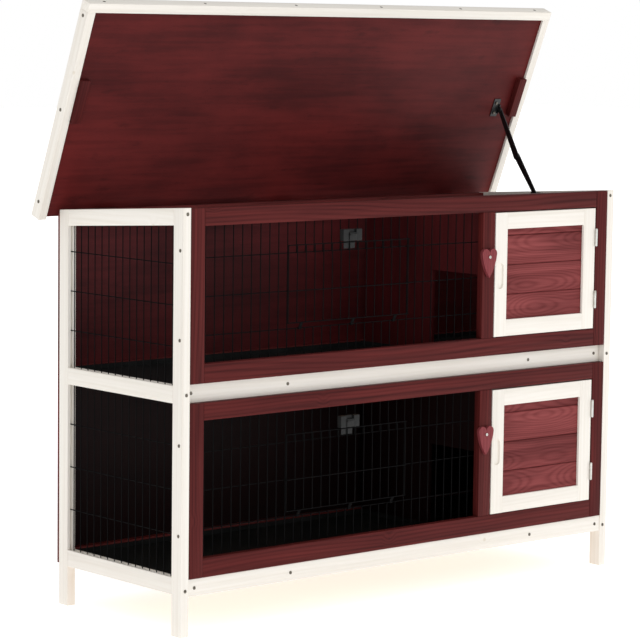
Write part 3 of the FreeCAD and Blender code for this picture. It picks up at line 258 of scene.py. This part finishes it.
def stained_pine(name, grain, boards=None, light=rgb(101, 37, 35), dark=rgb(56, 16, 16), ring=0.3):
    """Wine-red stain over pine: streaks, late wood and knots take it darker."""
    finish = Finish(name, specular=0.1)
    wood = Pine(finish, grain, boards)
    tone = wood.streak.ramp(0.28, 0.72) * 0.6 + wood.ring * ring + wood.fibre * 0.12
    colour = finish.mixed(tone, light, dark)
    colour = finish.mixed(wood.patch.ramp(0.42, 0.75) * 0.5, colour, rgb(64, 18, 19))
    colour = finish.mixed(wood.knot * 0.85, colour, rgb(30, 8, 9))
    finish.coloured(colour)
    finish.roughened(wood.ring * 0.1 + 0.5)
    finish.bumped(wood.ring * 0.3 + wood.fibre * 0.7, 0.00012)
    return finish.material


def white_pine(name, grain):
    """Thin warm-white paint over pine: the grain shows faintly through it."""
    finish = Finish(name, specular=0.2)
    wood = Pine(finish, grain)
    streaked = wood.ring * 0.16 + wood.streak.ramp(0.35, 0.75) * 0.55
    colour = finish.mixed(streaked, rgb(243, 238, 230), rgb(228, 221, 209))
    colour = finish.mixed(wood.patch.ramp(0.5, 0.8) * 0.4, colour, rgb(230, 221, 212))
    colour = finish.mixed(wood.knot * 0.4, colour, rgb(204, 190, 164))
    finish.coloured(colour)
    finish.roughened(wood.fibre * 0.14 + 0.45)
    finish.bumped(wood.ring * 0.35 + wood.fibre * 0.65, 0.0001)
    return finish.material


def darker(colour, share):
    return tuple(level * share for level in colour[:3]) + (1.0,)


def stained_plywood(name, grain, light, dark, painted_shade_below=None):
    """Rotary-cut veneer under the same stain: flat, cloudy, with short pores.

    If given, the last argument is a height: below it the inner faces go near-black, as painted shade for
    the dim inside of the lower storey.
    """
    finish = Finish(name, specular=0.12)
    place = finish.turned(GRAIN[grain])
    cloud = finish.noise(finish.stretched(place, (2.4, 5.0, 5.0)), detail=4.0, roughness=0.6)
    streak = finish.noise(finish.stretched(place, (5.0, 85.0, 85.0)), detail=3.0)
    pore = finish.noise(finish.stretched(place, (70.0, 900.0, 900.0)), detail=1.0)
    blotch = finish.noise(finish.stretched(place, (14.0, 48.0, 48.0)), detail=3.0)
    speck = finish.noise(finish.place, scale=260.0, detail=1.0)
    colour = finish.mixed(cloud.ramp(0.3, 0.72) * 0.7 + streak.ramp(0.35, 0.7) * 0.3, light, dark)
    colour = finish.mixed(blotch.ramp(0.6, 0.78) * 0.4, colour, darker(dark, 0.5))
    colour = finish.mixed(pore.ramp(0.62, 0.75) * 0.35, colour, darker(dark, 0.55))
    colour = finish.mixed(speck.ramp(0.74, 0.8) * 0.6, colour, darker(dark, 0.3))
    # Painted shade: below the given height the colour fades to near-black, standing for the shade inside
    # the lower storey.
    if painted_shade_below:
        height = finish.number(finish.node("SeparateXYZ", {}, {0: finish.place}).outputs[2])
        lower_storey_painted_shade = height.ramp(painted_shade_below - PAINTED_SHADE_BLEND, painted_shade_below + PAINTED_SHADE_BLEND, 0.92, 0.0)
        colour = finish.mixed(lower_storey_painted_shade, colour, rgb(8, 2, 2))
    finish.coloured(colour)
    finish.roughened(cloud * 0.2 + 0.42)
    finish.bumped(pore * 0.6 + streak * 0.4, 0.00008)
    return finish.material


def roofing_felt(name):
    """Mineral-faced felt: coloured grit bedded in bitumen."""
    finish = Finish(name, roughness=0.92, specular=0.3)
    grit = finish.node("TexVoronoi", {"feature": "F1"}, {"Vector": finish.place, "Scale": 620.0})
    shade = finish.number(grit.outputs["Distance"])
    tint = finish.number(finish.node("SeparateColor", {}, {0: grit.outputs["Color"]}).outputs[0])
    wash = finish.noise(finish.place, scale=7.0, detail=3.0)
    colour = finish.mixed(tint, rgb(54, 78, 66), rgb(98, 120, 104))
    colour = finish.mixed(wash.ramp(0.35, 0.75) * 0.4, colour, rgb(46, 60, 54))
    colour = finish.mixed(shade.ramp(0.35, 0.75) * 0.7, colour, rgb(24, 26, 26))
    finish.coloured(colour)
    finish.bumped(1.0 - shade, 0.0006)
    return finish.material


def coated_wire(name):
    """Black plastic-coated steel wire, a little dusty."""
    finish = Finish(name, specular=0.06)
    dust = finish.noise(finish.place, scale=60.0, detail=3.0)
    finish.coloured(finish.mixed(dust.ramp(0.45, 0.85), rgb(5, 5, 6), rgb(13, 12, 12)))
    finish.roughened(dust * 0.2 + 0.52)
    return finish.material


def black_plastic(name, roughness=0.5, specular=0.3):
    """Moulded black plastic with a fine leathery grain."""
    finish = Finish(name, specular=specular)
    grain = finish.noise(finish.place, scale=1400.0, detail=2.0)
    scuff = finish.noise(finish.place, scale=22.0, detail=4.0)
    finish.coloured(finish.mixed(scuff.ramp(0.35, 0.8), rgb(17, 18, 18), rgb(30, 30, 30)))
    finish.roughened(scuff * 0.2 + roughness)
    finish.bumped(grain, 0.00008)
    return finish.material


def black_steel(name):
    """Black stoved paint on pressed steel."""
    finish = Finish(name, specular=0.55)
    orange_peel = finish.noise(finish.place, scale=700.0, detail=2.0)
    rub = finish.noise(finish.place, scale=90.0, detail=3.0)
    finish.coloured(finish.mixed(rub.ramp(0.5, 0.85), rgb(14, 14, 15), rgb(38, 37, 37)))
    finish.roughened(rub * 0.18 + 0.3)
    finish.bumped(orange_peel, 0.00005)
    return finish.material


def bright_zinc(name):
    """Zinc-plated steel with the soft spangle of a cheap hinge."""
    finish = Finish(name, metallic=1.0)
    spangle = finish.noise(finish.place, scale=340.0, detail=3.0)
    stain = finish.noise(finish.place, scale=45.0, detail=2.0)
    finish.coloured(finish.mixed(stain.ramp(0.45, 0.8), rgb(214, 213, 208), rgb(170, 167, 158)))
    finish.roughened(spangle * 0.25 + 0.2)
    finish.bumped(spangle, 0.00004)
    return finish.material


def screw_steel_painted_shade(name):
    """Dull plated screws, a little tarnished; their dark tone is painted shade for the sunk holes they sit
    in.
    """
    finish = Finish(name, metallic=1.0)
    tarnish = finish.noise(finish.place, scale=260.0, detail=3.0)
    # Painted shade: the base colours are kept dark to stand for the shade in the screws' sunk holes.
    finish.coloured(finish.mixed(tarnish.ramp(0.35, 0.75), rgb(128, 122, 112), rgb(78, 72, 64)))
    finish.roughened(tarnish * 0.25 + 0.35)
    finish.bumped(tarnish, 0.00004)
    return finish.material


def pale_floor(name):
    """Plain white sweep."""
    finish = Finish(name, roughness=0.9, specular=0.1)
    finish.coloured(rgb(252, 252, 252))
    finish.shader.inputs["Emission Color"].default_value = (1.0, 1.0, 1.0, 1.0)
    finish.shader.inputs["Emission Strength"].default_value = 0.6
    return finish.material


def heart_stain(name):
    """The same stain on a close-grained sawn heart, a little redder."""
    finish = Finish(name, specular=0.12)
    wood = Pine(finish, "z")
    colour = finish.mixed(wood.ring * 0.3 + wood.streak * 0.5, rgb(140, 66, 70), rgb(104, 40, 45))
    finish.coloured(colour)
    finish.roughened(wood.ring * 0.1 + 0.42)
    finish.bumped(wood.ring * 0.4 + wood.fibre * 0.6, 0.00015)
    return finish.material


# ---- making pieces ------------------------------------------------------------------
def alone(piece):
    """Makes the piece the only selected one."""
    bpy.ops.object.select_all(action="DESELECT")
    piece.select_set(True)
    bpy.context.view_layer.objects.active = piece


def fitted(piece, kind, **settings):
    """Adds a modifier and applies it."""
    alone(piece)
    modifier = piece.modifiers.new(kind.title(), kind)
    for key, value in settings.items():
        setattr(modifier, key, value)
    bpy.ops.object.modifier_apply(modifier=modifier.name)


def merged_copy(node, name, wanted=None):
    """A copy of a CAD node's mesh, or of its wanted faces, as whole faces in place of loose triangles."""
    piece = bpy.data.objects.new(name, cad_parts[node].data.copy())
    bpy.context.scene.collection.objects.link(piece)
    alone(piece)
    if wanted:
        discard_all_but(piece, wanted)
    bpy.ops.object.mode_set(mode="EDIT")
    bpy.ops.mesh.select_all(action="SELECT")
    bpy.ops.mesh.customdata_custom_splitnormals_clear()
    bpy.ops.mesh.remove_doubles(threshold=SAME_PLACE)
    bpy.ops.mesh.dissolve_limited(angle_limit=FLAT)
    bpy.ops.object.mode_set(mode="OBJECT")
    return piece


def discard_all_but(piece, wanted):
    """Deletes the faces that wanted() turns down."""
    bpy.ops.object.mode_set(mode="EDIT")
    bpy.ops.mesh.select_mode(type="FACE")
    bpy.ops.mesh.select_all(action="DESELECT")
    bpy.ops.object.mode_set(mode="OBJECT")
    for face in piece.data.polygons:
        face.select = not wanted(face)
    bpy.ops.object.mode_set(mode="EDIT")
    bpy.ops.mesh.delete(type="FACE")
    bpy.ops.object.mode_set(mode="OBJECT")


def weigh_long_edges(piece, shortest):
    """Marks for the bevel the sharp edges that are longer than the rim steps of a hole."""
    mesh = piece.data
    faces = {}
    for face in mesh.polygons:
        for key in face.edge_keys:
            faces.setdefault(key, []).append(face.normal)
    weight = mesh.attributes.new("bevel_weight_edge", "FLOAT", "EDGE")
    for edge in mesh.edges:
        first, second = (mesh.vertices[i].co for i in edge.vertices)
        normals = faces.get(edge.key, [])
        sharp = len(normals) == 2 and normals[0].dot(normals[1]) < 0.8
        if sharp and (first - second).length > shortest:
            weight.data[edge.index].value = 1.0


def eased(node, body, edge, shortest=6 * MM, part="eased", wanted=None):
    """Stands for a CAD node, or a part of it: the same piece with its long edges rounded off."""
    piece = merged_copy(node, f"{node}_{part}", wanted)
    weigh_long_edges(piece, shortest)
    fitted(piece, "BEVEL", width=edge, segments=3, limit_method="WEIGHT", use_clamp_overlap=True)
    alone(piece)
    bpy.ops.object.shade_smooth_by_angle(angle=SMOOTH)
    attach(piece, body)
    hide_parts(node)
    return piece


def dressed(piece, *materials):
    piece.data.materials.clear()
    for material in materials:
        piece.data.materials.append(material)


# ---- timber -------------------------------------------------------------------------
def small_door(storey, stile_finish, rail_finish):
    """Stiles and rails are made apart, so that their touching faces don't become shared ones."""
    node = f"{storey}_door_frame"
    low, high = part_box(node)
    left = low.x + DOOR_MEMBER
    right = high.x - DOOR_MEMBER

    def in_stile(face):
        x = face.center.x
        if abs(x - left) < TOUCHING:
            return face.normal.x > 0.5
        if abs(x - right) < TOUCHING:
            return face.normal.x < -0.5
        return x < left or x > right

    def in_rail(face):
        return not in_stile(face)

    body = f"{storey}_small_door"
    dressed(eased(node, body, DOOR_EDGE, part="stiles", wanted=in_stile), stile_finish)
    dressed(eased(node, body, DOOR_EDGE, part="rails", wanted=in_rail), rail_finish)


def white_timber():
    upright = white_pine("white_paint_upright", "z")
    level = white_pine("white_paint_level", "x")
    deep = white_pine("white_paint_front_to_back", "y")
    sloping = white_pine("white_paint_lid", "lid")
    for place in ("front_left", "front_right", "rear_left", "rear_right"):
        dressed(eased(f"{place}_post", "hutch", TIMBER_EDGE), upright)
    for side in ("left", "right"):
        for level_name in ("bottom", "middle", "top"):
            dressed(eased(f"{side}_{level_name}_rail", "hutch", TIMBER_EDGE), deep)
    for rail in ("middle", "bottom"):
        dressed(eased(f"{rail}_front_rail", "hutch", TIMBER_EDGE), level)
    dressed(eased("lid_side_fascias", "lid", TIMBER_EDGE), sloping)
    dressed(eased("lid_front_fascia", "lid", TIMBER_EDGE), level)
    for storey in STOREYS:
        small_door(storey, upright, level)


def stained_timber():
    upright = stained_pine("stain_upright", "z")
    level = stained_pine("stain_level", "x")
    sloping = stained_pine("stain_lid_blocks", "lid")
    for storey in STOREYS:
        dressed(eased(f"{storey}_front_stiles", "hutch", TIMBER_EDGE), upright)
        dressed(eased(f"{storey}_mullion", "hutch", TIMBER_EDGE), upright)
        dressed(eased(f"{storey}_front_foot_rail", "hutch", TIMBER_EDGE), level)
        dressed(eased(f"{storey}_front_head_rail", "hutch", TIMBER_EDGE), level)
    dressed(eased("rear_rails", "hutch", TIMBER_EDGE), level)
    dressed(eased("lid_blocks", "lid", TIMBER_EDGE), sloping)


def boarding():
    """Boards: each one's grain comes from another part of the tree."""
    for storey in STOREYS:
        node = f"{storey}_door_boards"
        low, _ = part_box(node)
        first_joint = low.z + FIRST_JOINT_UP
        material = stained_pine(f"stain_{storey}_boards", "x", (first_joint - BOARD_PITCH, BOARD_PITCH),
                                light=rgb(146, 72, 72), dark=rgb(92, 34, 35), ring=0.28)
        dressed(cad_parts[node], material)
    low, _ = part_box("right_side_boards")
    side_stain = stained_pine("stain_side_boards", "y", (low.z, BOARD_PITCH))
    dressed(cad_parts["right_side_boards"], side_stain)


def hearts():
    """Turn buttons, with well-rounded edges, in a redder run of the stain."""
    material = heart_stain("stain_heart")
    for storey in STOREYS:
        piece = merged_copy(f"{storey}_heart_button", f"{storey}_heart")
        fitted(piece, "BEVEL", width=HEART_EDGE, segments=4, limit_method="ANGLE",
               angle_limit=math.radians(50), use_clamp_overlap=True)
        alone(piece)
        bpy.ops.object.shade_smooth_by_angle(angle=math.radians(40))
        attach(piece, f"{storey}_heart")
        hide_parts(f"{storey}_heart_button")
        dressed(piece, material)


def plywood():
    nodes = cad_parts
    lid = stained_plywood("stain_lid_underside", "x", rgb(96, 28, 27), rgb(54, 12, 13))
    dressed(eased("lid_panel", "lid", PLY_EDGE), lid)
    outside = stained_plywood("stain_back_outside", "x", rgb(112, 42, 40), rgb(72, 22, 22))
    # The inner faces of the back panel and the partitions carry painted shade below the middle height.
    inside = stained_plywood("stain_and_painted_shade_back_inside", "x", rgb(82, 26, 28), rgb(50, 13, 15), MIDDLE_HEIGHT)
    back = eased("back_panel", "hutch", PLY_EDGE)
    dressed(back, outside, inside)
    for face in back.data.polygons:
        face.material_index = int(face.normal.y < -0.9)
    upright = stained_plywood("stain_and_painted_shade_partitions", "z", rgb(82, 26, 28), rgb(50, 13, 15), MIDDLE_HEIGHT)
    dressed(eased("partitions", "hutch", PLY_EDGE), upright)
    bare = stained_plywood("bare_decks", "x", rgb(196, 164, 120), rgb(168, 132, 92))
    dressed(nodes["deck_boards"], bare)


# ---- screws -------------------------------------------------------------------------
def apart(piece):
    """Splits a piece into its separate solids."""
    alone(piece)
    bpy.ops.object.mode_set(mode="EDIT")
    bpy.ops.mesh.select_all(action="SELECT")
    bpy.ops.mesh.separate(type="LOOSE")
    bpy.ops.object.mode_set(mode="OBJECT")
    return list(bpy.context.selected_objects)


def screw_place(points):
    """The outer middle of a screw's head, the direction to its tip, and its head's radius."""
    middle = points.mean(0)
    _, _, axes = np.linalg.svd(points - middle)
    along = axes[0]
    run = (points - middle) @ along
    reach = np.linalg.norm(points - middle - np.outer(run, along), axis=1)
    wide = reach > reach.max() * 0.9
    if run[wide].mean() > 0:
        along = -along
        run = -run
    return Vector(middle + along * run.min()), Vector(along), reach.max()


def cross_cutter(radius, depth):
    """Two crossed wedges, for the recess in a screw's head."""
    blades = []
    for turn in (0, 1):
        bpy.ops.mesh.primitive_cube_add(size=1.0, location=(0, 0, 0))
        blade = bpy.context.active_object
        blade.scale = (radius * 1.15, radius * 0.26, depth * 2)
        blade.rotation_euler = (0, 0, turn * QUARTER)
        alone(blade)
        bpy.ops.object.transform_apply(location=False, rotation=True, scale=True)
        blades.append(blade)
    bpy.ops.object.select_all(action="DESELECT")
    for blade in blades:
        blade.select_set(True)
    bpy.context.view_layer.objects.active = blades[0]
    bpy.ops.object.join()
    cutter = bpy.context.active_object
    bpy.ops.object.mode_set(mode="EDIT")
    bpy.ops.mesh.select_all(action="DESELECT")
    bpy.ops.object.mode_set(mode="OBJECT")
    for vertex in cutter.data.vertices:
        vertex.select = vertex.co.z < 0
    bpy.ops.object.mode_set(mode="EDIT")
    bpy.ops.transform.resize(value=(0.55, 0.55, 1.0), center_override=(0, 0, 0))
    bpy.ops.object.mode_set(mode="OBJECT")
    return cutter


def screw_head(name, radius, thick, domed):
    """A screw's head with its top at the origin, and the tip below."""
    bpy.ops.object.select_all(action="DESELECT")
    bpy.ops.mesh.primitive_cylinder_add(vertices=28, radius=radius, depth=thick,
                                        location=(0, 0, -thick / 2))
    head = bpy.context.active_object
    head.name = name
    if domed:
        fitted(head, "BEVEL", width=thick * 0.55, segments=4, limit_method="ANGLE",
               angle_limit=math.radians(60))
    else:
        fitted(head, "BEVEL", width=0.2 * MM, segments=2, limit_method="ANGLE",
               angle_limit=math.radians(60))
    cutter = cross_cutter(radius, thick * 0.55)
    fitted(head, "BOOLEAN", object=cutter, operation="DIFFERENCE", solver="EXACT", use_self=True)
    bpy.data.objects.remove(cutter)
    alone(head)
    bpy.ops.object.shade_smooth_by_angle(angle=SMOOTH)
    return head


def screws():
    """A recessed head for each screw, and the hearts' washers."""
    steel = screw_steel_painted_shade("screw_steel_painted_shade")
    zinc = bright_zinc("screw_zinc")
    flat = screw_head("flat_head", SCREW_HEAD_R, SCREW_HEAD_T, domed=False)
    round_top = screw_head("round_head", SCREW_HEAD_R, SCREW_HEAD_T, domed=True)
    turn = 0.0
    for node, body, model, finish in (("frame_screws", "hutch", flat, steel),
                                      ("round_screws", "hutch", round_top, zinc),
                                      ("lid_screws", "lid", flat, steel)):
        source = merged_copy(node, node + "_source")
        heads = []
        for solid in apart(source):
            corners = np.array([tuple(v.co) for v in solid.data.vertices])
            place, along, radius = screw_place(corners)
            if radius > WASHER_R - 0.5 * MM:
                heads.append(solid)
                continue
            bpy.data.objects.remove(solid)
            head = model.copy()
            head.data = model.data.copy()
            bpy.context.scene.collection.objects.link(head)
            turn += SCREW_TURN
            face = along.to_track_quat("-Z", "Y").to_matrix().to_4x4()
            head.data.transform(Matrix.Translation(place) @ face @ Matrix.Rotation(turn, 4, "Z"))
            heads.append(head)
        whole = joined_as(heads, node + "_heads", body, finish)
        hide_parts(node)
    bpy.data.objects.remove(flat)
    bpy.data.objects.remove(round_top)


def joined_as(pieces, name, body, material):
    bpy.ops.object.select_all(action="DESELECT")
    for piece in pieces:
        piece.select_set(True)
    bpy.context.view_layer.objects.active = pieces[0]
    bpy.ops.object.join()
    whole = bpy.context.active_object
    whole.name = name
    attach(whole, body)
    dressed(whole, material)
    return whole


# ---- metal, plastic and felt ----------------------------------------------------------
def hardware():
    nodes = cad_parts
    wire = coated_wire("wire_coating")
    zinc = bright_zinc("hinge_zinc")
    steel = black_steel("stay_paint")
    plastic = black_plastic("latch_plastic")
    tray = black_plastic("tray_plastic", roughness=0.6, specular=0.08)
    for storey in STOREYS:
        dressed(nodes[f"{storey}_front_mesh"], wire)
        dressed(nodes[f"{storey}_side_mesh"], wire)
        dressed(nodes[f"{storey}_wire_door"], wire)
        dressed(nodes[f"{storey}_door_hinge_leaves"], zinc)
        dressed(eased(f"{storey}_latch_catch", f"{storey}_catch", PLASTIC_EDGE, 0.5 * MM), plastic)
    dressed(eased("latch_bodies", "hutch", PLASTIC_EDGE, 0.5 * MM), plastic)
    for node in ("stile_hinge_leaves", "hinge_pins"):
        dressed(nodes[node], zinc)
    for node in ("lid_hinge_leaves", "back_hinge_leaves",
                 "stay_upper_link", "stay_lower_link", "stay_lid_bracket", "stay_body_bracket"):
        dressed(nodes[node], steel)
    dressed(eased("run_trays", "hutch", PLASTIC_EDGE), tray)
    dressed(eased("nest_trays", "hutch", PLASTIC_EDGE), tray)
    dressed(nodes["lid_felt"], roofing_felt("lid_felt_grit"))


# ---- studio -------------------------------------------------------------------------
def area_light(name, place, target, size, power):
    light = bpy.data.lights.new(name, "AREA")
    light.shape = "RECTANGLE"
    light.size, light.size_y = size
    light.energy = power
    lamp = bpy.data.objects.new(name, light)
    lamp.location = place
    lamp.rotation_euler = (Vector(target) - Vector(place)).to_track_quat("-Z", "Y").to_euler()
    bpy.context.scene.collection.objects.link(lamp)


def studio():
    bpy.ops.object.select_all(action="DESELECT")
    bpy.ops.mesh.primitive_plane_add(size=FLOOR_SIZE, location=(0, 0, 0))
    floor = bpy.context.active_object
    floor.name = "studio_floor"
    dressed(floor, pale_floor("floor_white"))
    world = bpy.data.worlds.new("studio_world")
    world.use_nodes = True
    background = world.node_tree.nodes["Background"]
    background.inputs["Color"].default_value = (1.0, 1.0, 1.0, 1.0)
    path = world.node_tree.nodes.new("ShaderNodeLightPath")
    level = world.node_tree.nodes.new("ShaderNodeMapRange")
    level.inputs["To Min"].default_value = WORLD_LIGHT
    level.inputs["To Max"].default_value = 1.0
    world.node_tree.links.new(path.outputs["Is Camera Ray"], level.inputs["Value"])
    world.node_tree.links.new(level.outputs[0], background.inputs["Strength"])
    bpy.context.scene.world = world
    area_light("key_light", (1.4, -5.2, 2.0), (0.0, 0.0, 0.5), (KEY_SIZE, KEY_SIZE), KEY_LIGHT)
    bpy.context.scene.view_settings.view_transform = "Standard"


def camera():
    data = bpy.data.cameras.new("camera")
    data.lens = LENS
    data.sensor_width = SENSOR
    data.clip_end = FAR
    view = bpy.data.objects.new("camera", data)
    view.location = CAMERA_PLACE
    turn = tuple(math.radians(a) for a in CAMERA_TURN)
    view.rotation_euler = Euler(turn)
    bpy.context.scene.collection.objects.link(view)
    bpy.context.scene.camera = view


camera()
studio()
white_timber()
stained_timber()
boarding()
hearts()
plywood()
screws()
hardware()
